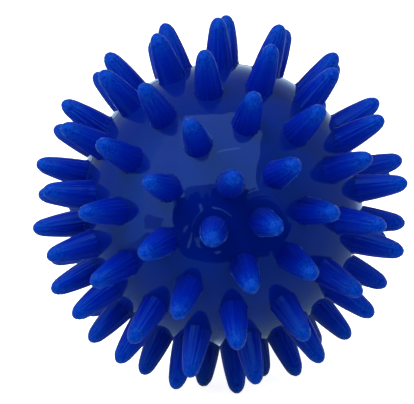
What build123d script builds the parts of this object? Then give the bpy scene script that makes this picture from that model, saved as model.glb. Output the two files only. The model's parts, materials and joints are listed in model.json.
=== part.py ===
"""Spiky massage ball: a hollow, air-filled skin of soft plastic with blunt spikes.

The ball comes out of a two-half mould. Each half lays its spikes on rings about the mould axis,
and the second half is the first one turned over. One pole carries a spike, and the other pole
carries the air valve. The origin is the centre of the ball. The ball lies on three spikes, whose
tips share a level plane below it, and its spiked pole faces the front, which is -Y.
"""

from build123d import *
import os
from math import cos, radians, sin, sqrt

os.makedirs("parts", exist_ok=True)

# Ball, in millimetres
ball_d = 100.0  # over the tips of opposite spikes
skin_d = 74.4  # round skin between the spikes
skin_wall = 2.6
seam_bead_r = 0.25  # raised line where the mould's halves meet

# Spikes
spike_base_r = 3.65
spike_tip_r = 1.7  # ball-shaped end
tip_turn_deg = 45.0  # how far the end turns from the spike's axis
brow_r = 4.2  # wider curve between the end and the flank
shoulder_deg = 78.5  # where that curve runs into the flank, from the spike's axis

# Rings of one half, from the pole to the mould's parting plane
ring_polar_deg = {1: 19.3, 2: 40.2, 3: 61.2, 4: 83.0}  # angle from the pole
ring_count = {1: 6, 2: 11, 3: 15, 4: 18}
ring_turn_deg = {1: 0.0, 2: 19.1, 3: -0.4, 4: 3.4}  # first spike's angle about the axis

# The three spikes that the ball lies on: half, ring, number in the ring
resting_spikes = (("plain", 4, 13), ("valve", 4, 5), ("valve", 4, 4))

# Valve, in the pole of the half that has no spike there
boss_r = 8.0  # thick round boss inside the skin
boss_depth = 11.0  # from the outside of the skin
boss_fillet_r = 2.0
seat_r = 4.2
seat_length = 9.4
seat_collar_r = 5.6  # collar that locks the seat in the boss
seat_collar_depth = 4.0
seat_collar_width = 2.0
stem_r = 1.6
stem_length = 7.6
stem_point_length = 1.2
stem_point_r = 0.9
stem_clearance = 0.04  # all round the stem, in the seat's bore
stopper_head_r = 3.3
stopper_head_height = 1.5
stopper_edge_r = 0.5
nail_notch_depth = 0.5  # undercut of the head, for a fingernail

ball_r = ball_d / 2
skin_r = skin_d / 2
centre = Vector(0, 0, 0)


# ---------------------------------------------------------------- spike layout


def spike_direction(half, ring, number):
    """Return a spike's outward direction about the mould axis, which is local Z."""
    turn = radians(ring_turn_deg[ring] + 360 * number / ring_count[ring])
    polar = radians(ring_polar_deg[ring])
    x, y, z = sin(polar) * cos(turn), sin(polar) * sin(turn), cos(polar)
    if half == "valve":
        return Vector(x, -y, -z)
    return Vector(x, y, z)


def mould_plane():
    """Return the mould's plane, turned so that the resting spikes' tips are level."""
    first, second, third = (spike_direction(*spike) for spike in resting_spikes)
    up = (second - first).cross(third - first).normalized()
    if up.dot(first) > 0:
        up = -up
    pole = Vector(0, 0, 1)
    back = -(pole - up * up.dot(pole)).normalized()
    right = back.cross(up)
    return Plane(
        origin=centre,
        x_dir=(right.X, back.X, up.X),
        z_dir=(right.Z, back.Z, up.Z),
    )


mould = mould_plane()
mould_axis = Axis(centre, mould.z_dir)

# Half sections are drawn here: X is the distance from the mould axis, Y runs along it.
section = Plane(origin=centre, x_dir=mould.x_dir, z_dir=mould.x_dir.cross(mould.z_dir))


def ring_places(half, ring):
    """Return one plane for each spike of a ring, with Z out along the spike."""
    places = []
    for number in range(ring_count[ring]):
        local = spike_direction(half, ring, number)
        outward = mould.from_local_coords(local) - mould.origin
        places.append(Plane(origin=centre, z_dir=outward))
    return places


def write_piece(piece, name):
    """Label a finished piece and write its STEP file."""
    piece.label = name
    export_step(piece, f"parts/{name}.step")


# ---------------------------------------------------------------- valve

# The seat's flat outer face meets the skin at the seat's rim.
seat_face = sqrt(skin_r**2 - seat_r**2)
seat_inner = seat_face - seat_length
bore_r = stem_r + stem_clearance

with BuildSketch(section) as seat_outline:
    with Locations((0, -seat_face)):
        Rectangle(2 * seat_r, seat_length, align=(Align.CENTER, Align.MIN))
    with Locations((0, -seat_face + seat_collar_depth)):
        Rectangle(2 * seat_collar_r, seat_collar_width, align=(Align.CENTER, Align.MIN))

with BuildPart() as valve_seat:
    with BuildSketch(section):
        add(seat_outline.sketch_local)
        with Locations((0, -seat_face)):
            Rectangle(2 * bore_r, seat_length, align=(Align.CENTER, Align.MIN), mode=Mode.SUBTRACT)
        Rectangle(ball_d, ball_d, align=(Align.MAX, Align.CENTER), mode=Mode.SUBTRACT)
    revolve(axis=mould_axis)
write_piece(valve_seat.part, "valve_seat")

with BuildPart() as valve_stopper:
    with BuildSketch(section):
        with BuildLine():
            stem_end = -seat_face + stem_length
            head_top = -seat_face - stopper_head_height
            Polyline(
                (0, head_top),
                (0, stem_end),
                (stem_point_r, stem_end),
                (stem_r, stem_end - stem_point_length),
                (stem_r, -seat_face),
                (stopper_head_r - nail_notch_depth, -seat_face),
                (stopper_head_r, -seat_face - nail_notch_depth),
            )
            Line((stopper_head_r, -seat_face - nail_notch_depth), (stopper_head_r, head_top))
            Line((stopper_head_r, head_top), (0, head_top))
        make_face()
    revolve(axis=mould_axis)
    rim = valve_stopper.edges().filter_by(GeomType.CIRCLE).sort_by(mould_axis)[0]
    fillet(rim, radius=stopper_edge_r)
write_piece(valve_stopper.part, "valve_stopper")


# ---------------------------------------------------------------- skin

with BuildSketch(section) as air_space:
    Circle(skin_r - skin_wall)
    with Locations((0, -skin_r)):
        Rectangle(
            2 * boss_r, boss_depth, align=(Align.CENTER, Align.MIN), mode=Mode.SUBTRACT
        )
    fillet(air_space.vertices(), radius=boss_fillet_r)

with BuildPart() as ball_skin:
    with BuildSketch(section):
        Circle(skin_r)
        with Locations((skin_r, 0), (-skin_r, 0)):
            Circle(seam_bead_r)
        add(air_space.sketch_local, mode=Mode.SUBTRACT)
        add(seat_outline.sketch_local, mode=Mode.SUBTRACT)
        with Locations((0, -seat_face)):
            Rectangle(2 * seat_r, skin_r, align=(Align.CENTER, Align.MAX), mode=Mode.SUBTRACT)
        with Locations((0, -seat_inner)):
            Rectangle(2 * bore_r, skin_r, align=(Align.CENTER, Align.MIN), mode=Mode.SUBTRACT)
        Rectangle(2 * ball_d, 2 * ball_d, align=(Align.MAX, Align.CENTER), mode=Mode.SUBTRACT)
    revolve(axis=mould_axis)
write_piece(ball_skin.part, "ball_skin")


# ---------------------------------------------------------------- spikes


def arc_point(middle, radius, turn_deg):
    """Return the point of an arc at an angle from the spike's axis."""
    turn = radians(turn_deg)
    return (middle[0] + radius * sin(turn), middle[1] + radius * cos(turn))


# One spike along +Z. Its foot is cut to the skin's round surface. The end, the wider curve
# behind it and the flank are three arcs that follow each other without a crease.
tip_middle = (0, ball_r - spike_tip_r)
tip_edge = arc_point(tip_middle, spike_tip_r, tip_turn_deg)
brow_middle = arc_point(tip_edge, -brow_r, tip_turn_deg)
shoulder_at = arc_point(brow_middle, brow_r, shoulder_deg)
shoulder = radians(shoulder_deg)
foot_at = (spike_base_r, sqrt(skin_r**2 - spike_base_r**2))

with BuildPart() as spike:
    with BuildSketch(Plane.XZ):
        with BuildLine():
            Line((0, ball_r), (0, skin_r))
            RadiusArc((0, skin_r), foot_at, skin_r)
            TangentArc(shoulder_at, foot_at, tangent=(cos(shoulder), -sin(shoulder)))
            half_brow = arc_point(brow_middle, brow_r, (tip_turn_deg + shoulder_deg) / 2)
            ThreePointArc(tip_edge, half_brow, shoulder_at)
            half_tip = arc_point(tip_middle, spike_tip_r, tip_turn_deg / 2)
            ThreePointArc((0, ball_r), half_tip, tip_edge)
        make_face()
    revolve(axis=Axis.Z)

with BuildPart() as plain_pole_spike:
    with Locations(mould):
        add(spike.part)
write_piece(plain_pole_spike.part, "plain_pole_spike")

for half in ("plain", "valve"):
    for ring in ring_count:
        with BuildPart() as ring_spikes:
            with Locations(*ring_places(half, ring)):
                add(spike.part)
        write_piece(ring_spikes.part, f"{half}_ring_{ring}_spikes")
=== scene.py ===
"""Looks of a spiky massage ball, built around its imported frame.

The ball is one hollow moulding of soft blue vinyl: a glossy round skin with fluted, blunt spikes
all over it, a raised seam where the mould's halves met, and an air valve in one pole, closed by
a pull-out stopper. The frame gives every place and outer size. This script rebuilds the pieces
with their flutes, wrinkles and mould marks, dresses them, and sets up a plain studio.
"""

import json
import logging
import math
import random
from dataclasses import dataclass
from enum import Enum

import bmesh
import bpy
from mathutils import Matrix, Vector, noise


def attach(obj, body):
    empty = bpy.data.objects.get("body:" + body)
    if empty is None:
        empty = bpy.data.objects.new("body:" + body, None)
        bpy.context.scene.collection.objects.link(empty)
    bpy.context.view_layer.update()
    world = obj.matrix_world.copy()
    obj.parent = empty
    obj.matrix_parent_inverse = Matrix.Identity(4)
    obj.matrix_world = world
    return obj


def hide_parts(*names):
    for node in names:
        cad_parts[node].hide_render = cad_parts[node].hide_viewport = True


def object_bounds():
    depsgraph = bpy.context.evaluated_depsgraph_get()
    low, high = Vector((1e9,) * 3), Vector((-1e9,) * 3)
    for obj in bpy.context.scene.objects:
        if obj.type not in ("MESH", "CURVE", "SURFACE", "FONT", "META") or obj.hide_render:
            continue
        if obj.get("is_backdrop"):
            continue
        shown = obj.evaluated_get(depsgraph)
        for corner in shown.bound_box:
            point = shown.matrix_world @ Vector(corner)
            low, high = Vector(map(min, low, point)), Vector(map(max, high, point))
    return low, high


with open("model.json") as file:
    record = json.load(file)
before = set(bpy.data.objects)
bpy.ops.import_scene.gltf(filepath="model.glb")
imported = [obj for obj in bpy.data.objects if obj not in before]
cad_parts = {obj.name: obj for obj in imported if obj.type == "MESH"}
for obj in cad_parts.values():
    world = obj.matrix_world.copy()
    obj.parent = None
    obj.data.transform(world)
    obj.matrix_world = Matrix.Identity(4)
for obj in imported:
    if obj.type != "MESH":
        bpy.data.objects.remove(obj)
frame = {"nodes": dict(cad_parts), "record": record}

LOG = logging.getLogger("massage_ball")
MM = 0.001
MERGE_GAP = 0.0005 * MM  # points closer together than this become one
ON_AXIS = 0.001 * MM  # points closer to an axis than this lie on it
FOOT_MARGIN = 0.004 * MM  # slack for telling a spike's foot face from its flank
Colour = tuple[float, float, float, float]
WHITE: Colour = (1.0, 1.0, 1.0, 1.0)


class Body(Enum):
    """Rigid bodies of the frame."""

    BALL = "ball"
    STOPPER = "stopper"


class Slot(Enum):
    """Material slots of the record."""

    SKIN = "skin_vinyl"
    SPIKE = "spike_vinyl"
    VALVE = "valve_vinyl"


# ---------------------------------------------------------------- node trees


class NodeTree:
    """Thin wrapper that adds and links shader nodes in few words."""

    def __init__(self, tree: bpy.types.NodeTree) -> None:
        """Start from an empty tree.

        Args:
            tree: the node tree of a material or a world.
        """
        self.tree = tree
        tree.nodes.clear()

    def add(self, kind: str, **inputs: object) -> bpy.types.Node:
        """Add a node.

        Args:
            kind: the node's type, without the ShaderNode prefix.
            inputs: values of input sockets, with spaces written as underscores, and
                of node settings, written in lower case.

        Returns:
            The new node.
        """
        node = self.tree.nodes.new("ShaderNode" + kind)
        for name, value in inputs.items():
            socket = node.inputs.get(name.replace("_", " "))
            if socket is None:
                setattr(node, name, value)
            else:
                socket.default_value = value
        return node

    def link(self, source: bpy.types.NodeSocket, target: bpy.types.NodeSocket) -> None:
        """Link an output to an input.

        Args:
            source: the output socket.
            target: the input socket.
        """
        self.tree.links.new(source, target)

    def ramp(
        self,
        factor: bpy.types.NodeSocket,
        *stops: tuple[float, Colour],
    ) -> bpy.types.NodeSocket:
        """Turn a number into a colour.

        Args:
            factor: the number, from 0 to 1.
            stops: positions and their colours, in order.

        Returns:
            The colour output.
        """
        node = self.add("ValToRGB")
        elements = node.color_ramp.elements
        elements[0].position, elements[0].color = stops[0]
        elements[1].position, elements[1].color = stops[-1]
        for position, colour in stops[1:-1]:
            elements.new(position).color = colour
        self.link(factor, node.inputs["Fac"])
        return node.outputs["Color"]

    def object_noise(
        self,
        per_metre: float,
        detail: float,
        roughness: float = 0.5,
    ) -> bpy.types.NodeSocket:
        """Add noise fixed to the piece.

        Args:
            per_metre: how many waves of it fit in a metre.
            detail: number of finer layers.
            roughness: strength of the finer layers.

        Returns:
            The noise value output.
        """
        place = self.add("TexCoord")
        cloud = self.add("TexNoise", Scale=per_metre, Detail=detail, Roughness=roughness)
        self.link(place.outputs["Object"], cloud.inputs["Vector"])
        return cloud.outputs["Fac"]

    def scaled(
        self,
        value: bpy.types.NodeSocket,
        low: float,
        high: float,
    ) -> bpy.types.NodeSocket:
        """Map a number from 0..1 to another range.

        Args:
            value: the number.
            low: what 0 becomes.
            high: what 1 becomes.

        Returns:
            The mapped number's output.
        """
        node = self.add("MapRange", To_Min=low, To_Max=high)
        self.link(value, node.inputs["Value"])
        return node.outputs["Result"]


def new_material(name: str) -> tuple[bpy.types.Material, NodeTree]:
    """Make a material without nodes.

    Args:
        name: the material's name.

    Returns:
        The material and its node tree.
    """
    material = bpy.data.materials.new(name)
    material.use_nodes = True
    return material, NodeTree(material.node_tree)


# ---------------------------------------------------------------- finishes


@dataclass(frozen=True)
class SkinVinyl:
    """Glossy, slightly milky blue vinyl of the round skin."""

    deep: Colour = (0.0, 0.0055, 0.128, 1.0)
    clear: Colour = (0.0, 0.008, 0.155, 1.0)
    reflection: Colour = (0.2, 0.5, 1.0, 1.0)
    smooth: float = 0.03
    smudged: float = 0.07
    clouds_per_metre: float = 45.0
    smudges_per_metre: float = 160.0
    ripples_per_metre: float = 420.0
    ripple_height: float = 0.02 * MM
    bubbles_per_metre: float = 230.0
    bubble_share: float = 0.05
    bubble_edge: float = 0.11
    bubble_top: float = 0.05
    bubble_height: float = 0.1 * MM

    def bubbles(self, nodes: NodeTree) -> bpy.types.NodeSocket:
        """Add a few small round bumps, where air was caught under the surface.

        Args:
            nodes: the material's tree.

        Returns:
            Height of the bumps, from 0 to 1.
        """
        place = nodes.add("TexCoord")
        cells = nodes.add("TexVoronoi", feature="F1", Scale=self.bubbles_per_metre)
        nodes.link(place.outputs["Object"], cells.inputs["Vector"])
        dome = nodes.add("MapRange", interpolation_type="SMOOTHSTEP")
        dome.inputs["From Min"].default_value = self.bubble_edge
        dome.inputs["From Max"].default_value = self.bubble_top
        nodes.link(cells.outputs["Distance"], dome.inputs["Value"])
        parts = nodes.add("SeparateColor")
        nodes.link(cells.outputs["Color"], parts.inputs["Color"])
        chosen = nodes.add("Math", operation="LESS_THAN")
        nodes.link(parts.outputs["Red"], chosen.inputs[0])
        chosen.inputs[1].default_value = self.bubble_share
        height = nodes.add("Math", operation="MULTIPLY")
        nodes.link(dome.outputs["Result"], height.inputs[0])
        nodes.link(chosen.outputs["Value"], height.inputs[1])
        return height.outputs["Value"]

    def material(self) -> bpy.types.Material:
        """Build the material.

        Returns:
            The new material.
        """
        material, nodes = new_material("skin_vinyl_gloss")
        vinyl = nodes.add(
            "BsdfPrincipled",
            IOR=1.5,
            Specular_IOR_Level=1.0,
            Specular_Tint=self.reflection,
        )
        clouds = nodes.object_noise(self.clouds_per_metre, 3.0)
        colour = nodes.ramp(clouds, (0.3, self.deep), (0.7, self.clear))
        nodes.link(colour, vinyl.inputs["Base Color"])
        smudges = nodes.object_noise(self.smudges_per_metre, 5.0, 0.65)
        nodes.link(nodes.scaled(smudges, self.smooth, self.smudged), vinyl.inputs["Roughness"])
        ripple = nodes.add("Bump", Strength=0.2, Distance=self.ripple_height)
        nodes.link(nodes.object_noise(self.ripples_per_metre, 2.0), ripple.inputs["Height"])
        dots = nodes.add("Bump", Strength=1.0, Distance=self.bubble_height)
        nodes.link(self.bubbles(nodes), dots.inputs["Height"])
        nodes.link(ripple.outputs["Normal"], dots.inputs["Normal"])
        nodes.link(dots.outputs["Normal"], vinyl.inputs["Normal"])
        output = nodes.add("OutputMaterial")
        nodes.link(vinyl.outputs["BSDF"], output.inputs["Surface"])
        return material


@dataclass(frozen=True)
class SpikeVinyl:
    """Satin blue vinyl of the spikes, with painted glow towards the thin tips and painted glints.
    """

    skin_r: float
    ball_r: float
    # Paler towards the tip: a painted glow of light shining through the thin vinyl there
    foot: Colour = (0.0, 0.0065, 0.23, 1.0)
    flank: Colour = (0.0, 0.0105, 0.29, 1.0)
    tip: Colour = (0.0, 0.036, 0.33, 1.0)
    reflection: Colour = (0.12, 0.55, 1.0, 1.0)
    rim: Colour = (0.08, 0.26, 0.95, 1.0)
    smooth: float = 0.09
    rough: float = 0.17
    gloss: float = 0.95
    edge_gloss: float = 0.2
    glow_depth: float = 1.6 * MM
    # Painted glints: pale flecks near the tip stand in for the glints of its crinkled facets
    painted_glints_per_metre: float = 1450.0
    painted_glint_low: float = -1.05
    painted_glint_high: float = 0.85
    painted_glints_from: float = 0.5  # share of the spike's height
    painted_glints_full: float = 0.92
    mottle_per_metre: float = 260.0
    mottle_share: float = 0.16
    smudges_per_metre: float = 700.0
    grain_per_metre: float = 1400.0
    grain_height: float = 0.03 * MM

    def painted_glow_glints_and_mottle(self, nodes: NodeTree) -> bpy.types.NodeSocket:
        """Rate how pale to paint the vinyl: a painted glow, paler up the spike, and painted
        glints flecked near its tip.

        Args:
            nodes: the material's tree.

        Returns:
            The rating, from 0 at the foot to about 1 at the tip.
        """
        place = nodes.add("TexCoord")
        distance = nodes.add("VectorMath", operation="LENGTH")
        nodes.link(place.outputs["Object"], distance.inputs[0])
        height = nodes.add("MapRange", From_Min=self.skin_r, From_Max=self.ball_r)
        nodes.link(distance.outputs["Value"], height.inputs["Value"])
        # Painted glints near the tip, flecked into the colour
        fine = nodes.object_noise(self.painted_glints_per_metre, 1.0, 0.6)
        painted_glints = nodes.add("Math", operation="MULTIPLY_ADD")
        nodes.link(nodes.scaled(fine, self.painted_glint_low, self.painted_glint_high), painted_glints.inputs[0])
        near_tip = nodes.add("MapRange", interpolation_type="SMOOTHSTEP")
        near_tip.inputs["From Min"].default_value = self.painted_glints_from
        near_tip.inputs["From Max"].default_value = self.painted_glints_full
        nodes.link(height.outputs["Result"], near_tip.inputs["Value"])
        nodes.link(near_tip.outputs["Result"], painted_glints.inputs[1])
        nodes.link(height.outputs["Result"], painted_glints.inputs[2])
        mottle = nodes.add("Math", operation="MULTIPLY_ADD")
        nodes.link(nodes.object_noise(self.mottle_per_metre, 3.0), mottle.inputs[0])
        mottle.inputs[1].default_value = self.mottle_share
        nodes.link(painted_glints.outputs["Value"], mottle.inputs[2])
        return mottle.outputs["Value"]

    def material(self) -> bpy.types.Material:
        """Build the material.

        Returns:
            The new material.
        """
        material, nodes = new_material("spike_vinyl_satin")
        vinyl = nodes.add(
            "BsdfPrincipled",
            IOR=1.34,
            Specular_Tint=self.reflection,
            Subsurface_Weight=0.25,
            Subsurface_Radius=(0.2, 0.5, 1.0),
            Subsurface_Scale=self.glow_depth,
            Sheen_Weight=0.8,
            Sheen_Roughness=0.17,
            Sheen_Tint=self.rim,
        )
        edge = nodes.add("LayerWeight", Blend=0.5)
        gloss = nodes.add("MapRange", From_Min=0.5, From_Max=0.9)
        gloss.inputs["To Min"].default_value = self.gloss
        gloss.inputs["To Max"].default_value = self.edge_gloss
        nodes.link(edge.outputs["Facing"], gloss.inputs["Value"])
        nodes.link(gloss.outputs["Result"], vinyl.inputs["Specular IOR Level"])
        # Base colour from foot to tip: the paler tip is painted glow, the flecks near it painted
        # glints
        colour = nodes.ramp(
            self.painted_glow_glints_and_mottle(nodes),
            (0.05, self.foot),
            (0.6, self.flank),
            (1.0, self.tip),
        )
        nodes.link(colour, vinyl.inputs["Base Color"])
        smudges = nodes.object_noise(self.smudges_per_metre, 4.0)
        nodes.link(nodes.scaled(smudges, self.smooth, self.rough), vinyl.inputs["Roughness"])
        grain = nodes.add("Bump", Strength=0.3, Distance=self.grain_height)
        nodes.link(nodes.object_noise(self.grain_per_metre, 4.0, 0.6), grain.inputs["Height"])
        nodes.link(grain.outputs["Normal"], vinyl.inputs["Normal"])
        output = nodes.add("OutputMaterial")
        nodes.link(vinyl.outputs["BSDF"], output.inputs["Surface"])
        return material


@dataclass(frozen=True)
class ValveVinyl:
    """Firmer, satin vinyl of the valve seat and its stopper."""

    name: str
    dark: Colour
    light: Colour
    reflection: Colour = (0.15, 0.5, 1.0, 1.0)
    smooth: float = 0.3
    rough: float = 0.46
    mottle_per_metre: float = 380.0
    smudges_per_metre: float = 900.0
    grain_per_metre: float = 2600.0
    grain_height: float = 0.02 * MM

    def material(self) -> bpy.types.Material:
        """Build the material.

        Returns:
            The new material.
        """
        material, nodes = new_material(self.name)
        vinyl = nodes.add(
            "BsdfPrincipled",
            IOR=1.5,
            Specular_IOR_Level=0.5,
            Specular_Tint=self.reflection,
        )
        mottle = nodes.object_noise(self.mottle_per_metre, 4.0)
        colour = nodes.ramp(mottle, (0.3, self.dark), (0.7, self.light))
        nodes.link(colour, vinyl.inputs["Base Color"])
        smudges = nodes.object_noise(self.smudges_per_metre, 3.0)
        nodes.link(nodes.scaled(smudges, self.smooth, self.rough), vinyl.inputs["Roughness"])
        grain = nodes.add("Bump", Strength=0.3, Distance=self.grain_height)
        nodes.link(nodes.object_noise(self.grain_per_metre, 3.0), grain.inputs["Height"])
        nodes.link(grain.outputs["Normal"], vinyl.inputs["Normal"])
        output = nodes.add("OutputMaterial")
        nodes.link(vinyl.outputs["BSDF"], output.inputs["Surface"])
        return material


# ---------------------------------------------------------------- measures from the frame


@dataclass(frozen=True)
class BallMeasures:
    """Main sizes and directions of the ball, in metres, read from the frame."""

    skin_r: float
    ball_r: float
    foot_r: float
    valve_way: Vector
    lowest: float

    @classmethod
    def from_frame(cls) -> "BallMeasures":
        """Measure the spike on the plain pole and read the stopper's direction.

        Returns:
            The measures.
        """
        spike = [v.co.copy() for v in frame["nodes"]["plain_pole_spike"].data.vertices]
        tip = max(spike, key=lambda co: co.length)
        axis = tip.normalized()
        joint = frame["record"]["behaviour"]["joints"][0]
        return cls(
            skin_r=min(co.length for co in spike),
            ball_r=tip.length,
            foot_r=max((co - axis * co.dot(axis)).length for co in spike),
            valve_way=Vector(joint["axis"]).normalized(),
            lowest=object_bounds()[0].z,
        )


@dataclass(frozen=True)
class SpikeOutline:
    """Half section of a spike, read from the spike on the plain pole."""

    points: tuple[tuple[float, float], ...]

    @classmethod
    def from_frame(cls, measures: BallMeasures) -> "SpikeOutline":
        """Collect the half section from the tip down to the foot.

        Args:
            measures: sizes of the ball.

        Returns:
            The outline, as distances from the spike's axis and heights.
        """
        axis = -measures.valve_way
        levels: dict[float, float] = {}
        for vertex in frame["nodes"]["plain_pole_spike"].data.vertices:
            height = vertex.co.dot(axis)
            radius = (vertex.co - axis * height).length
            on_skin = vertex.co.length < measures.skin_r + FOOT_MARGIN
            if on_skin and radius < measures.foot_r - FOOT_MARGIN:
                continue  # inside the foot's edge, on the face that rests on the skin
            level = round(height, 6)
            levels[level] = max(radius, levels.get(level, 0.0))
        lowest = math.sqrt(measures.skin_r**2 - measures.foot_r**2) - FOOT_MARGIN / 2
        heights = [height for height in sorted(levels, reverse=True) if height > lowest]
        return cls(tuple((levels[height], height) for height in heights))

    def rows(self, tip_step: float, flank_step: float) -> list[tuple[float, float]]:
        """Return evenly placed points of the outline, closer together at the tip.

        Args:
            tip_step: distance between points at the tip.
            flank_step: distance between points at the foot.

        Returns:
            The points, from the tip down.
        """
        runs = [0.0]
        for (r0, z0), (r1, z1) in zip(self.points, self.points[1:]):
            runs.append(runs[-1] + math.hypot(r1 - r0, z1 - z0))
        marks = [0.0]
        while marks[-1] < runs[-1]:
            share = min(1.0, marks[-1] / (0.5 * runs[-1]))
            marks.append(marks[-1] + tip_step + (flank_step - tip_step) * share)
        marks = [mark * runs[-1] / marks[-1] for mark in marks]
        rows = []
        piece = 0
        for mark in marks:
            while piece < len(runs) - 2 and runs[piece + 1] < mark:
                piece += 1
            share = (mark - runs[piece]) / (runs[piece + 1] - runs[piece])
            (r0, z0), (r1, z1) = self.points[piece], self.points[piece + 1]
            rows.append((r0 + (r1 - r0) * share, z0 + (z1 - z0) * share))
        rows[0] = (0.0, self.points[0][1])
        return rows


def spike_axes(node: str, measures: BallMeasures) -> list[Vector]:
    """Find the outward directions of the spikes of a CAD node.

    Args:
        node: name of the node.
        measures: sizes of the ball.

    Returns:
        One unit vector for each spike, in a steady order.
    """
    same_spike = 2 * MM
    near_tip = measures.ball_r - 0.05 * MM
    tips: list[Vector] = []
    for vertex in frame["nodes"][node].data.vertices:
        if vertex.co.length < near_tip:
            continue
        for index, tip in enumerate(tips):
            if (tip - vertex.co).length < same_spike:
                if vertex.co.length > tip.length:
                    tips[index] = vertex.co.copy()
                break
        else:
            tips.append(vertex.co.copy())
    tips.sort(key=lambda co: (round(co.x, 4), round(co.z, 4)))
    return [tip.normalized() for tip in tips]


# ---------------------------------------------------------------- mesh helpers


def spin_profile(bm: bmesh.types.BMesh, outline: list[tuple[float, float]], steps: int) -> None:
    """Spin a half section about Z into a closed skin.

    Args:
        bm: the mesh that receives it.
        outline: points as distance from the axis and height.
        steps: number of steps round.
    """
    verts = [bm.verts.new((x, 0.0, z)) for x, z in outline]
    edges = [bm.edges.new(pair) for pair in zip(verts, verts[1:])]
    bmesh.ops.spin(
        bm,
        geom=verts + edges,
        cent=(0.0, 0.0, 0.0),
        axis=(0.0, 0.0, 1.0),
        dvec=(0.0, 0.0, 0.0),
        angle=2 * math.pi,
        steps=steps,
        use_merge=True,
        use_normal_flip=False,
        use_duplicate=False,
    )
    bmesh.ops.remove_doubles(bm, verts=bm.verts, dist=MERGE_GAP)
    bmesh.ops.recalc_face_normals(bm, faces=bm.faces)


def finished_piece(
    name: str,
    bm: bmesh.types.BMesh,
    material: bpy.types.Material,
    crease_deg: float,
) -> bpy.types.Object:
    """Turn a finished mesh into an object at the origin.

    Args:
        name: the piece's name.
        bm: the mesh, which is freed.
        material: its finish.
        crease_deg: edges sharper than this stay sharp.

    Returns:
        The new object.
    """
    for face in bm.faces:
        face.smooth = True
    mesh = bpy.data.meshes.new(name)
    bm.to_mesh(mesh)
    bm.free()
    mesh.set_sharp_from_angle(angle=math.radians(crease_deg))
    mesh.materials.append(material)
    piece = bpy.data.objects.new(name, mesh)
    bpy.context.scene.collection.objects.link(piece)
    return piece


def turn_to(way: Vector) -> Matrix:
    """Make the rotation that carries +Z to a direction.

    Args:
        way: the direction.

    Returns:
        The rotation.
    """
    return way.to_track_quat("Z", "Y").to_matrix().to_4x4()


def smooth_step(value: float, low: float, high: float) -> float:
    """Rise smoothly from 0 to 1 between two values.

    Args:
        value: where to read the step.
        low: where it is 0.
        high: where it is 1, on either side of low.

    Returns:
        The step's height there.
    """
    share = min(1.0, max(0.0, (value - low) / (high - low)))
    return share * share * (3 - 2 * share)


# ---------------------------------------------------------------- spikes


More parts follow.
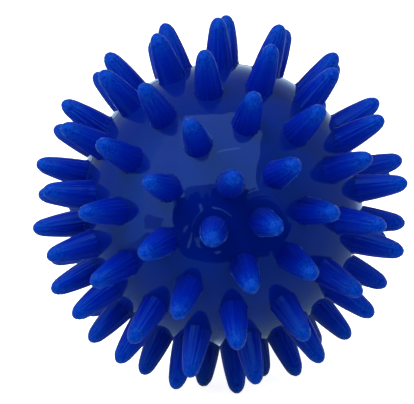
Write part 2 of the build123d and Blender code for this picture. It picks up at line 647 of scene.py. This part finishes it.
@dataclass
class SpikeRing:
    """One ring of fluted spikes, seated in the skin."""

    node: str
    measures: BallMeasures
    outline: SpikeOutline
    seed: int
    steps: int = 96
    tip_step: float = 0.17 * MM
    flank_step: float = 0.95 * MM
    sunk: float = 0.35 * MM
    flute_count: int = 18
    flute_depth: float = 0.32 * MM
    wrinkle_depth: float = 0.16 * MM
    wrinkle_size: float = 0.62 * MM
    wrinkle_from: float = 3.4 * MM  # below the tip, where wrinkles begin
    wrinkle_full: float = 1.2 * MM
    flutes_fade: float = 3.6 * MM  # below the tip, where flutes begin to fade
    flutes_end: float = 0.7 * MM
    flare: float = 0.22 * MM
    flare_height: float = 0.55 * MM  # above the skin, where the foot begins to widen
    flare_foot: float = -0.1 * MM
    twist: float = 0.12  # largest turn of the flutes from foot to tip, in radians

    def section(self) -> list[tuple[float, float]]:
        """Return a spike's half section from the tip to the middle of its foot.

        Returns:
            Points as distance from the spike's axis and height.
        """
        points = self.outline.rows(self.tip_step, self.flank_step)
        foot_r, foot_height = points[-1]
        return points + [(foot_r, foot_height - self.sunk), (0.0, foot_height - self.sunk)]

    def ribs(self, angle: float, share: float, draws: tuple[float, ...]) -> float:
        """Return how deep the flutes are at a place, from 0 to 1.

        Args:
            angle: turn about the spike's axis.
            share: height up the spike, from 0 to 1.
            draws: this spike's own phases and twist.

        Returns:
            Depth as a share of the full depth.
        """
        first, second, third, twist = draws
        turn = angle + twist * share
        wide = math.cos(self.flute_count * turn + first)
        narrow = math.cos((self.flute_count * 2 - 5) * turn + second)
        swell = 0.7 + 0.3 * math.cos(3 * turn + third)
        return swell * (0.5 - 0.3 * wide - 0.2 * narrow)

    def carve(self, bm: bmesh.types.BMesh, draw: random.Random) -> None:
        """Press the flutes, tip wrinkles and foot flare into one spike.

        Args:
            bm: a spike that stands on +Z.
            draw: source of this spike's own variation.
        """
        m = self.measures
        phases = tuple(draw.uniform(0.0, 2 * math.pi) for _ in range(3))
        draws = phases + (draw.uniform(-self.twist, self.twist),)
        depth = self.flute_depth * draw.uniform(0.85, 1.1)
        offset = Vector((draw.uniform(0, 50), draw.uniform(0, 50), draw.uniform(0, 50)))
        length = m.ball_r - m.skin_r
        for vert in bm.verts:
            x, y, z = vert.co
            radius = math.hypot(x, y)
            height = z - m.skin_r
            near_tip = smooth_step(height, length - self.wrinkle_from, length - self.wrinkle_full)
            crinkle = abs(noise.noise(Vector((x, y, z)) / self.wrinkle_size + offset))
            fold = self.wrinkle_depth * near_tip * crinkle
            if radius < ON_AXIS:
                vert.co.z -= fold
                continue
            angle = math.atan2(y, x)
            fade = 1.0 - smooth_step(height, length - self.flutes_fade, length - self.flutes_end)
            cut = depth * self.ribs(angle, height / length, draws) * fade + fold
            cut -= self.flare * smooth_step(height, self.flare_height, self.flare_foot)
            vert.co.x -= cut * x / radius
            vert.co.y -= cut * y / radius
            vert.co.z -= fold

    def build(self, material: bpy.types.Material) -> bpy.types.Object:
        """Build the ring.

        Args:
            material: the finish of the spikes.

        Returns:
            One piece that holds all the ring's spikes.
        """
        draw = random.Random(self.seed)
        plain = bmesh.new()
        spin_profile(plain, self.section(), self.steps)
        ring = bmesh.new()
        store = bpy.data.meshes.new("spike_store")
        for way in spike_axes(self.node, self.measures):
            spike = plain.copy()
            self.carve(spike, draw)
            bmesh.ops.transform(spike, matrix=turn_to(way), verts=spike.verts)
            spike.to_mesh(store)
            ring.from_mesh(store)
            spike.free()
        plain.free()
        bpy.data.meshes.remove(store)
        name = self.node.replace("spikes", "fluted").replace("spike", "fluted")
        piece = finished_piece(name, ring, material, 60)
        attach(piece, Body.BALL.value)
        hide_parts(self.node)
        LOG.info("%s: %d triangles", piece.name, 2 * len(piece.data.polygons))
        return piece


# ---------------------------------------------------------------- skin


@dataclass
class BallSkin:
    """The hollow round skin, with its seam, valve boss and mould marks."""

    measures: BallMeasures
    wall: float = 2.6 * MM
    seam_r: float = 0.25 * MM
    seam_height: float = 0.1 * MM
    boss_r: float = 8.0 * MM
    boss_depth: float = 11.0 * MM
    pocket_r: float = 4.2 * MM
    row_step: float = 0.62 * MM
    pole_row_step: float = 0.16 * MM
    pole_reach: float = 9.6 * MM
    seam_row_step: float = 0.06 * MM
    seam_reach: float = 0.6 * MM
    steps: int = 288
    inner_rows: int = 50
    mould_rings: tuple[float, ...] = (5.6 * MM, 6.6 * MM, 7.9 * MM)
    mould_ring_width: float = 0.3 * MM
    mould_ring_height: float = 0.012 * MM
    wave_height: float = 0.014 * MM
    wave_length: float = 9.0 * MM
    sink_depth: float = 0.05 * MM
    sink_from: float = 0.2 * MM  # outside a spike's foot
    sink_to: float = 2.4 * MM

    def latitudes(self, start: float) -> list[float]:
        """Return the rows' angles from the parting plane.

        Args:
            start: angle of the pocket's rim.

        Returns:
            Angles up to the plain pole, closer together at the seam and round that pole.
        """
        skin_r = self.measures.skin_r
        angles = [start]
        while angles[-1] < math.pi / 2:
            run = (math.pi / 2 - angles[-1]) * skin_r
            seam = abs(angles[-1]) * skin_r
            step = self.pole_row_step if run < self.pole_reach else self.row_step
            step = self.seam_row_step if seam < self.seam_reach else step
            angles.append(angles[-1] + step / skin_r)
        angles[-1] = math.pi / 2
        return angles

    def outline(self) -> list[tuple[float, float]]:
        """Return the half section, from the valve's pocket over the outside and back inside.

        Returns:
            Points as distance from the mould axis and height along it.
        """
        m = self.measures
        rim = math.asin(self.pocket_r / m.skin_r)
        points = []
        for angle in self.latitudes(-math.pi / 2 + rim):
            rise = abs(angle) * m.skin_r / self.seam_r
            bead = self.seam_height * math.sqrt(max(0.0, 1 - rise * rise))
            run = (math.pi / 2 - angle) * m.skin_r
            rings = ((run - ring) / self.mould_ring_width for ring in self.mould_rings)
            line = sum(math.exp(-(ring**2)) for ring in rings)
            radius = m.skin_r + bead + self.mould_ring_height * line
            points.append((radius * math.cos(angle), radius * math.sin(angle)))
        inner = m.skin_r - self.wall
        boss_turn = math.asin(self.boss_r / inner)
        for row in range(self.inner_rows + 1):
            angle = math.pi / 2 - (math.pi - boss_turn) * row / self.inner_rows
            points.append((inner * math.cos(angle), inner * math.sin(angle)))
        boss_top = -m.skin_r + self.boss_depth
        points.append((self.boss_r, boss_top))
        points.append((self.pocket_r, boss_top))
        points.append(points[0])
        return [(max(0.0, x), z) for x, z in points]

    def build(self, material: bpy.types.Material, ways: list[Vector]) -> bpy.types.Object:
        """Build the skin.

        Args:
            material: its finish.
            ways: outward directions of all the spikes, which leave sink marks.

        Returns:
            The skin piece.
        """
        m = self.measures
        bm = bmesh.new()
        spin_profile(bm, self.outline(), self.steps)
        bmesh.ops.transform(bm, matrix=turn_to(-m.valve_way), verts=bm.verts)
        outside = m.skin_r - self.wall / 2
        for vert in bm.verts:
            if vert.co.length < outside:
                continue
            way = vert.co.normalized()
            wave = noise.noise(vert.co / self.wave_length)
            reach = min(way.angle(spike) for spike in ways) * m.skin_r - m.foot_r
            sink = self.sink_depth * (1 - smooth_step(reach, self.sink_from, self.sink_to))
            vert.co += way * (self.wave_height * wave - sink)
        piece = finished_piece("round_skin", bm, material, 50)
        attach(piece, Body.BALL.value)
        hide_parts("ball_skin")
        LOG.info("%s: %d triangles", piece.name, 2 * len(piece.data.polygons))
        return piece


# ---------------------------------------------------------------- valve


@dataclass
class Valve:
    """The valve seat in the boss, and its stopper."""

    measures: BallMeasures
    seat_r: float = 4.2 * MM
    seat_length: float = 9.4 * MM
    bore_r: float = 1.64 * MM
    stem_r: float = 1.6 * MM
    stem_length: float = 7.6 * MM
    head_r: float = 3.3 * MM
    head_height: float = 1.5 * MM
    notch: float = 0.5 * MM
    steps: int = 72

    @property
    def face(self) -> float:
        """Return how far the seat's outer face is from the ball's centre.

        Returns:
            The distance, in metres.
        """
        return math.sqrt(self.measures.skin_r**2 - self.seat_r**2)

    def seat(self, material: bpy.types.Material) -> bpy.types.Object:
        """Build the seat, a bush with a rounded rim and a shallow dish round its bore.

        Args:
            material: its finish.

        Returns:
            The seat piece.
        """
        face, back = self.face, self.face - self.seat_length
        outline = [
            (self.bore_r, back),
            (self.bore_r, face - 0.35 * MM),
            (self.bore_r + 0.15 * MM, face - 0.12 * MM),
            (self.bore_r + 0.4 * MM, face - 0.05 * MM),
            (self.seat_r - 0.5 * MM, face - 0.02 * MM),
            (self.seat_r - 0.15 * MM, face - 0.06 * MM),
            (self.seat_r, face - 0.22 * MM),
            (self.seat_r, back),
            (self.bore_r, back),
        ]
        bm = bmesh.new()
        spin_profile(bm, outline, self.steps)
        bmesh.ops.transform(bm, matrix=turn_to(self.measures.valve_way), verts=bm.verts)
        piece = finished_piece("seat_bush", bm, material, 40)
        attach(piece, Body.BALL.value)
        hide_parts("valve_seat")
        LOG.info("%s: %d triangles", piece.name, 2 * len(piece.data.polygons))
        return piece

    def stopper(self, material: bpy.types.Material) -> bpy.types.Object:
        """Build the stopper: a dished head with a ring on it, a nail notch and a pointed stem.

        Args:
            material: its finish.

        Returns:
            The stopper piece.
        """
        face = self.face
        top = face + self.head_height
        end = face - self.stem_length
        outline = [
            (0.0, top - 0.32 * MM),
            (1.2 * MM, top - 0.3 * MM),
            (1.55 * MM, top - 0.12 * MM),
            (1.8 * MM, top),
            (2.3 * MM, top),
            (self.head_r - 0.45 * MM, top - 0.08 * MM),
            (self.head_r - 0.13 * MM, top - 0.3 * MM),
            (self.head_r, top - 0.62 * MM),
            (self.head_r, face + self.notch),
            (self.head_r - 0.12 * MM, face + 0.3 * MM),
            (self.head_r - self.notch, face + 0.02 * MM),
            (self.stem_r, face + 0.02 * MM),
            (self.stem_r, end + 1.2 * MM),
            (0.9 * MM, end + 0.15 * MM),
            (0.6 * MM, end),
            (0.0, end),
        ]
        bm = bmesh.new()
        spin_profile(bm, outline, self.steps)
        bmesh.ops.transform(bm, matrix=turn_to(self.measures.valve_way), verts=bm.verts)
        piece = finished_piece("pull_stopper", bm, material, 40)
        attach(piece, Body.STOPPER.value)
        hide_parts("valve_stopper")
        LOG.info("%s: %d triangles", piece.name, 2 * len(piece.data.polygons))
        return piece


# ---------------------------------------------------------------- camera and studio


@dataclass(frozen=True)
class Viewpoint:
    """The camera: a long lens, a little above the ball and to its left."""

    azimuth_deg: float = -15.66
    elevation_deg: float = 11.75
    roll_deg: float = -5.2
    distance: float = 0.70
    lens_mm: float = 231.3
    shift_x: float = -0.034
    shift_y: float = 0.0063

    def axes(self) -> tuple[Vector, Vector, Vector]:
        """Work out the camera's own directions.

        Returns:
            Its right, up and backward directions.
        """
        azimuth, elevation = math.radians(self.azimuth_deg), math.radians(self.elevation_deg)
        back = Vector(
            (
                math.sin(azimuth) * math.cos(elevation),
                -math.cos(azimuth) * math.cos(elevation),
                math.sin(elevation),
            )
        )
        level = Vector((math.cos(azimuth), math.sin(azimuth), 0.0))
        upright = back.cross(level)
        roll = math.radians(self.roll_deg)
        right = level * math.cos(roll) + upright * math.sin(roll)
        return right, back.cross(right), back

    def way(self, azimuth_deg: float, elevation_deg: float) -> Vector:
        """Return a direction from the ball, where azimuth and elevation 0 point at the camera.

        Args:
            azimuth_deg: turn to the right, as the camera sees it.
            elevation_deg: turn up.

        Returns:
            A unit vector.
        """
        right, up, back = self.axes()
        azimuth, elevation = math.radians(azimuth_deg), math.radians(elevation_deg)
        level = right * math.sin(azimuth) + back * math.cos(azimuth)
        return level * math.cos(elevation) + up * math.sin(elevation)

    def build(self) -> bpy.types.Object:
        """Make the camera and use it.

        Returns:
            The camera.
        """
        right, up, back = self.axes()
        data = bpy.data.cameras.new("viewpoint")
        data.lens = self.lens_mm
        data.sensor_width = 36.0
        data.shift_x, data.shift_y = self.shift_x, self.shift_y
        camera = bpy.data.objects.new("viewpoint", data)
        bpy.context.scene.collection.objects.link(camera)
        turn = Matrix((right, up, back)).transposed().to_4x4()
        camera.matrix_world = Matrix.Translation(back * self.distance) @ turn
        bpy.context.scene.camera = camera
        return camera


@dataclass(frozen=True)
class Card:
    """A card round the ball that only shows in glossy surfaces.

    Each corner is an azimuth and an elevation from the camera's direction, in degrees, and
    the card's radiance there.
    """

    name: str
    corners: tuple[tuple[float, float, float], ...]
    distance: float
    light: Colour = WHITE

    def material(self) -> bpy.types.Material:
        """Build a glowing material that follows the corners' radiance.

        Returns:
            The new material.
        """
        material, nodes = new_material(self.name)
        glow = nodes.add("Emission", Color=self.light)
        radiance = nodes.add("Attribute", attribute_name="radiance")
        nodes.link(radiance.outputs["Fac"], glow.inputs["Strength"])
        nodes.link(glow.outputs["Emission"], nodes.add("OutputMaterial").inputs["Surface"])
        return material

    def build(self, viewpoint: Viewpoint) -> bpy.types.Object:
        """Build the card.

        Args:
            viewpoint: the camera, whose direction is where azimuth and elevation are 0.

        Returns:
            The card.
        """
        bm = bmesh.new()
        radiance = bm.verts.layers.float.new("radiance")
        verts = []
        for azimuth, elevation, value in self.corners:
            vert = bm.verts.new(viewpoint.way(azimuth, elevation) * self.distance)
            vert[radiance] = value
            verts.append(vert)
        bm.faces.new(verts)
        bmesh.ops.triangulate(bm, faces=bm.faces)
        mesh = bpy.data.meshes.new(self.name)
        bm.to_mesh(mesh)
        bm.free()
        mesh.materials.append(self.material())
        card = bpy.data.objects.new(self.name, mesh)
        bpy.context.scene.collection.objects.link(card)
        card.visible_camera = False
        card.visible_diffuse = False
        card.visible_transmission = False
        card.visible_shadow = False
        card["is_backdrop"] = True
        return card


COOL: Colour = (0.66, 0.96, 1.12, 1.0)

# A bright wall over a dark opening with a few light slits, and dimmer walls round them
CARDS = (
    Card(
        "bright_wall",
        ((-70, 65, 0.9), (-58, 69, 0.9), (-36, 73, 0.9), (1, 75, 0.9), (41, 72.5, 0.9),
         (62.5, 69, 0.9), (65, 65.5, 0.9), (51.5, 58.5, 0.9), (43.5, 50, 0.9), (38, 41, 0.9),
         (34, 31.5, 0.9), (32, 24, 0.9), (29, 17.5, 0.9), (30, 5, 0.84), (-12, 5, 0.86),
         (-38, 5, 0.86), (-45, 13, 0.88), (-60, 15.5, 0.88), (-64, 25.5, 0.88),
         (-52, 34.5, 0.88), (-39.5, 40.5, 0.88), (-46, 52, 0.88)),
        0.62,
    ),
    Card(
        "left_wall_near",
        ((-38, -18, 0.8), (-38, 40, 0.84), (-38, 72, 0.62), (-62, 64, 0.62), (-63, 30, 0.76),
         (-64, -20, 0.72)),
        0.64,
    ),
    Card(
        "left_wall_far",
        ((-63.5, -20, 0.72), (-62.5, 30, 0.74), (-61.5, 62, 0.62), (-96, 58, 0.36),
         (-100, -24, 0.3)),
        0.64,
        COOL,
    ),
    Card(
        "light_strip",
        ((-5.5, 39.5, 1.5), (6, 41, 1.6), (18.5, 42, 1.5), (18.5, 43.5, 1.5), (6, 42.5, 1.6),
         (-5.5, 41, 1.5)),
        0.3,
    ),
    Card(
        "camera_gap",
        ((-36, 10.5, 0), (-30.5, 13, 0), (-17, 15, 0), (-2.5, 16.5, 0), (8.5, 16, 0),
         (17, 13, 0), (24, 13, 0), (38.5, 10.5, 0), (49, 4.5, 0), (55.5, -5.5, 0),
         (58, -15, 0), (57.5, -24.5, 0), (51, -34, 0), (39.5, -39.5, 0), (18.5, -44, 0),
         (0.5, -46, 0), (-18.5, -44, 0), (-32.5, -40, 0), (-39.5, -34, 0), (-41, -24.5, 0),
         (-40, -14.5, 0), (-38, -5.5, 0), (-36.5, 3, 0)),
        0.61,
    ),
    Card(
        "left_gap",
        ((-62, -8.5, 0.3), (-58, -6, 0.3), (-53.5, -8, 0.3), (-51.5, -12, 0.3),
         (-46, -10.5, 0.3), (-45, -12.5, 0.3), (-49, -17.5, 0.3), (-54, -15.5, 0.3),
         (-59.5, -18, 0.3), (-62.5, -15.5, 0.3)),
        0.4,
    ),
    Card(
        "gap_haze_left",
        ((-32, 10.5, 0.2), (-29, 12.5, 0.3), (-16.5, 14.5, 0.28), (-3.5, 15.5, 0.2),
         (-4, 10.5, 0.16), (-8, 5.5, 0.14), (-11, 10, 0.2), (-14, 4, 0.16), (-18, 10, 0.22),
         (-23, 7.5, 0.2), (-27, 3, 0.12)),
        0.36,
    ),
    Card(
        "gap_haze_right",
        ((17.5, 12, 0.2), (25, 12.5, 0.24), (37.5, 10, 0.26), (47, 4.5, 0.22),
         (53, -4.5, 0.12), (52.5, -12, 0.06), (46.5, -4, 0.1), (39, 1.5, 0.12), (31, 5, 0.14),
         (21.5, 5.5, 0.12), (17, 0, 0.06)),
        0.36,
    ),
    Card(
        "slit_upper",
        ((-17, 0, 0.8), (-15.5, -3, 0.8), (-15, -6.5, 0.6), (-12.5, -6, 0.6),
         (-13.5, -2.5, 0.8), (-15, 1, 0.8)),
        0.3,
    ),
    Card(
        "slit_thin",
        ((-14.5, -6, 0.5), (-17.5, -10, 0.4), (-21, -16, 0.3), (-20, -16.5, 0.3),
         (-16.5, -10.5, 0.4), (-13.5, -6.5, 0.5)),
        0.3,
    ),
    Card(
        "slit_hook",
        ((-7, -3, 0.9), (-4.5, -6, 0.8), (-0.5, -6, 0.75), (4.5, -10, 0.6), (5.5, -9, 0.6),
         (0, -4.5, 0.75), (-4, -4.5, 0.8), (-5.5, -2, 0.9)),
        0.3,
    ),
    Card(
        "slit_left",
        ((-29.5, -21, 0.4), (-25, -16.5, 0.5), (-26.5, -15, 0.5), (-31.5, -20, 0.4)),
        0.3,
    ),
    Card(
        "slit_lower",
        ((-27.5, -32, 0.7), (-24, -27, 0.6), (-20, -21, 0.4), (-21.5, -20, 0.4),
         (-26, -26, 0.6), (-29.5, -31, 0.7)),
        0.3,
    ),
    Card(
        "slit_patch",
        ((-19, -23.5, 0.35), (-19, -30.5, 0.6), (-15, -30.5, 0.6), (-15, -23.5, 0.35)),
        0.3,
    ),
    Card(
        "slit_foot",
        ((-6, -33, 0.5), (-4.5, -37, 0.6), (-0.5, -35.5, 0.6), (-1.5, -31.5, 0.5)),
        0.3,
    ),
    Card(
        "low_left_wall",
        ((100, -8, 0.3), (140, -8, 0.3), (178, -8, 0.3), (178, -70, 0.3), (140, -66, 0.3),
         (100, -60, 0.3)),
        0.6,
        COOL,
    ),
    Card(
        "low_right_wall",
        ((182, -8, 0.3), (220, -8, 0.3), (260, -8, 0.3), (260, -60, 0.3), (220, -66, 0.3),
         (182, -70, 0.3)),
        0.6,
        COOL,
    ),
)


@dataclass(frozen=True)
class Lamp:
    """A soft square light that doesn't mirror in the vinyl."""

    name: str
    azimuth_deg: float
    elevation_deg: float
    distance: float
    size: float
    watts: float

    def build(self, viewpoint: Viewpoint) -> None:
        """Hang the lamp so that it faces the ball.

        Args:
            viewpoint: the camera, whose direction is where azimuth and elevation are 0.
        """
        way = viewpoint.way(self.azimuth_deg, self.elevation_deg)
        data = bpy.data.lights.new(self.name, "AREA")
        data.shape = "SQUARE"
        data.size = self.size
        data.energy = self.watts
        lamp = bpy.data.objects.new(self.name, data)
        lamp.location = way.normalized() * self.distance
        lamp.rotation_mode = "QUATERNION"
        lamp.rotation_quaternion = way.to_track_quat("Z", "Y")
        lamp.visible_glossy = False
        bpy.context.scene.collection.objects.link(lamp)


LAMPS = (
    Lamp("key_light", -42.0, 46.0, distance=1.2, size=0.7, watts=13.0),
    Lamp("front_light", 35.0, 8.0, distance=1.3, size=0.8, watts=4.0),
)

# Brightness of the mirrored tent: behind the ball at 0, behind the camera at 1
MIRRORED_LEVELS = (
    (0.0, 1.0),
    (0.01, 1.0),
    (0.03, 0.82),
    (0.08, 0.52),
    (0.125, 0.32),
    (0.25, 0.21),
    (0.5, 0.26),
    (0.75, 0.22),
    (1.0, 0.18),
)


@dataclass(frozen=True)
class Studio:
    """A white light tent on a pale floor."""

    measures: BallMeasures
    viewpoint: Viewpoint
    tent_top: float = 0.8
    tent_side: float = 0.55
    tent_low: float = 0.4
    backdrop: float = 1.05
    mirrored_tint: tuple[float, float, float] = (0.82, 1.1, 1.35)
    floor_radius: float = 6.0
    floor_paper: Colour = (0.8, 0.8, 0.8, 1.0)
    floor_lift: float = 0.85  # keeps the floor white to the camera

    def reflected_walls(
        self,
        nodes: NodeTree,
        way: bpy.types.NodeSocket,
    ) -> bpy.types.NodeSocket:
        """Return the tent as glossy surfaces mirror it.

        It is white just behind the ball, and dimmer round it and in front of it.

        Args:
            nodes: the world's tree.
            way: direction of the ray.

        Returns:
            The colour output.
        """
        along = nodes.add("VectorMath", operation="DOT_PRODUCT")
        nodes.link(way, along.inputs[0])
        along.inputs[1].default_value = self.viewpoint.axes()[2]
        share = nodes.add("MapRange", From_Min=-1.0, From_Max=1.0)
        nodes.link(along.outputs["Value"], share.inputs["Value"])
        red, green, blue = self.mirrored_tint
        stops = ((at, (red * k, green * k, blue * k, 1.0)) for at, k in MIRRORED_LEVELS)
        return nodes.ramp(share.outputs["Result"], *stops)

    def tent(self) -> None:
        """Light the scene from a tent that is brightest at the top and white to the eye."""
        world = bpy.data.worlds.new("tent")
        bpy.context.scene.world = world
        world.use_nodes = True
        nodes = NodeTree(world.node_tree)
        place = nodes.add("TexCoord")
        parts = nodes.add("SeparateXYZ")
        nodes.link(place.outputs["Generated"], parts.inputs["Vector"])
        height = nodes.add("MapRange", From_Min=-1.0, From_Max=1.0)
        nodes.link(parts.outputs["Z"], height.inputs["Value"])
        low, side, top = self.tent_low, self.tent_side, self.tent_top
        walls = nodes.ramp(
            height.outputs["Result"],
            (0.15, (low, low, low, 1.0)),
            (0.5, (side, side, side, 1.0)),
            (0.85, (top, top, top, 1.0)),
        )
        lit = nodes.add("Background", Strength=1.0)
        nodes.link(walls, lit.inputs["Color"])
        mirrored = nodes.add("Background", Strength=1.0)
        far_walls = self.reflected_walls(nodes, place.outputs["Generated"])
        nodes.link(far_walls, mirrored.inputs["Color"])
        seen = nodes.add("Background", Color=WHITE, Strength=self.backdrop)
        ray = nodes.add("LightPath")
        glossy = nodes.add("MixShader")
        nodes.link(ray.outputs["Is Glossy Ray"], glossy.inputs[0])
        nodes.link(lit.outputs["Background"], glossy.inputs[1])
        nodes.link(mirrored.outputs["Background"], glossy.inputs[2])
        mix = nodes.add("MixShader")
        nodes.link(ray.outputs["Is Camera Ray"], mix.inputs[0])
        nodes.link(glossy.outputs["Shader"], mix.inputs[1])
        nodes.link(seen.outputs["Background"], mix.inputs[2])
        nodes.link(mix.outputs["Shader"], nodes.add("OutputWorld").inputs["Surface"])

    def floor(self) -> bpy.types.Object:
        """Build the pale floor under the resting tips.

        Returns:
            The floor.
        """
        bm = bmesh.new()
        bmesh.ops.create_circle(bm, cap_ends=True, segments=96, radius=self.floor_radius)
        bmesh.ops.translate(bm, vec=(0.0, 0.0, self.measures.lowest), verts=bm.verts)
        mesh = bpy.data.meshes.new("floor")
        bm.to_mesh(mesh)
        bm.free()
        material, nodes = new_material("floor_paper")
        paper = nodes.add("BsdfDiffuse", Color=self.floor_paper)
        lit = nodes.add("Emission", Color=WHITE, Strength=self.floor_lift)
        bright = nodes.add("AddShader")
        nodes.link(paper.outputs["BSDF"], bright.inputs[0])
        nodes.link(lit.outputs["Emission"], bright.inputs[1])
        ray = nodes.add("LightPath")
        mix = nodes.add("MixShader")
        nodes.link(ray.outputs["Is Camera Ray"], mix.inputs[0])
        nodes.link(paper.outputs["BSDF"], mix.inputs[1])
        nodes.link(bright.outputs["Shader"], mix.inputs[2])
        nodes.link(mix.outputs["Shader"], nodes.add("OutputMaterial").inputs["Surface"])
        mesh.materials.append(material)
        floor = bpy.data.objects.new("floor", mesh)
        bpy.context.scene.collection.objects.link(floor)
        floor.visible_glossy = False
        floor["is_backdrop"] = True
        return floor

    def build(self) -> None:
        """Set up the tent, floor, lights and cards."""
        scene = bpy.context.scene
        scene.view_settings.view_transform = "Standard"
        scene.view_settings.look = "None"
        self.tent()
        self.floor()
        for lamp in LAMPS:
            lamp.build(self.viewpoint)
        for card in CARDS:
            card.build(self.viewpoint)


def main() -> None:
    """Build the ball and its studio."""
    logging.basicConfig(level=logging.INFO, format="%(message)s")
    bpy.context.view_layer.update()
    measures = BallMeasures.from_frame()
    LOG.info(
        "skin radius %.2f mm, radius over the spikes %.2f mm",
        measures.skin_r / MM,
        measures.ball_r / MM,
    )
    spike_nodes = [name for name in sorted(frame["nodes"]) if "spike" in name]
    ways = [way for name in spike_nodes for way in spike_axes(name, measures)]
    LOG.info("%d spikes in %d nodes", len(ways), len(spike_nodes))
    outline = SpikeOutline.from_frame(measures)
    spike_finish = SpikeVinyl(measures.skin_r, measures.ball_r).material()
    for seed, name in enumerate(spike_nodes):
        SpikeRing(name, measures, outline, seed).build(spike_finish)
    BallSkin(measures).build(SkinVinyl().material(), ways)
    valve = Valve(measures)
    seat_finish = ValveVinyl(
        "seat_vinyl_satin",
        dark=(0.0, 0.008, 0.16, 1.0),
        light=(0.001, 0.014, 0.22, 1.0),
    )
    stopper_finish = ValveVinyl(
        "stopper_vinyl_satin",
        dark=(0.001, 0.02, 0.24, 1.0),
        light=(0.003, 0.032, 0.32, 1.0),
    )
    valve.seat(seat_finish.material())
    valve.stopper(stopper_finish.material())
    viewpoint = Viewpoint()
    viewpoint.build()
    Studio(measures, viewpoint).build()


if __name__ == "__main__":
    main()
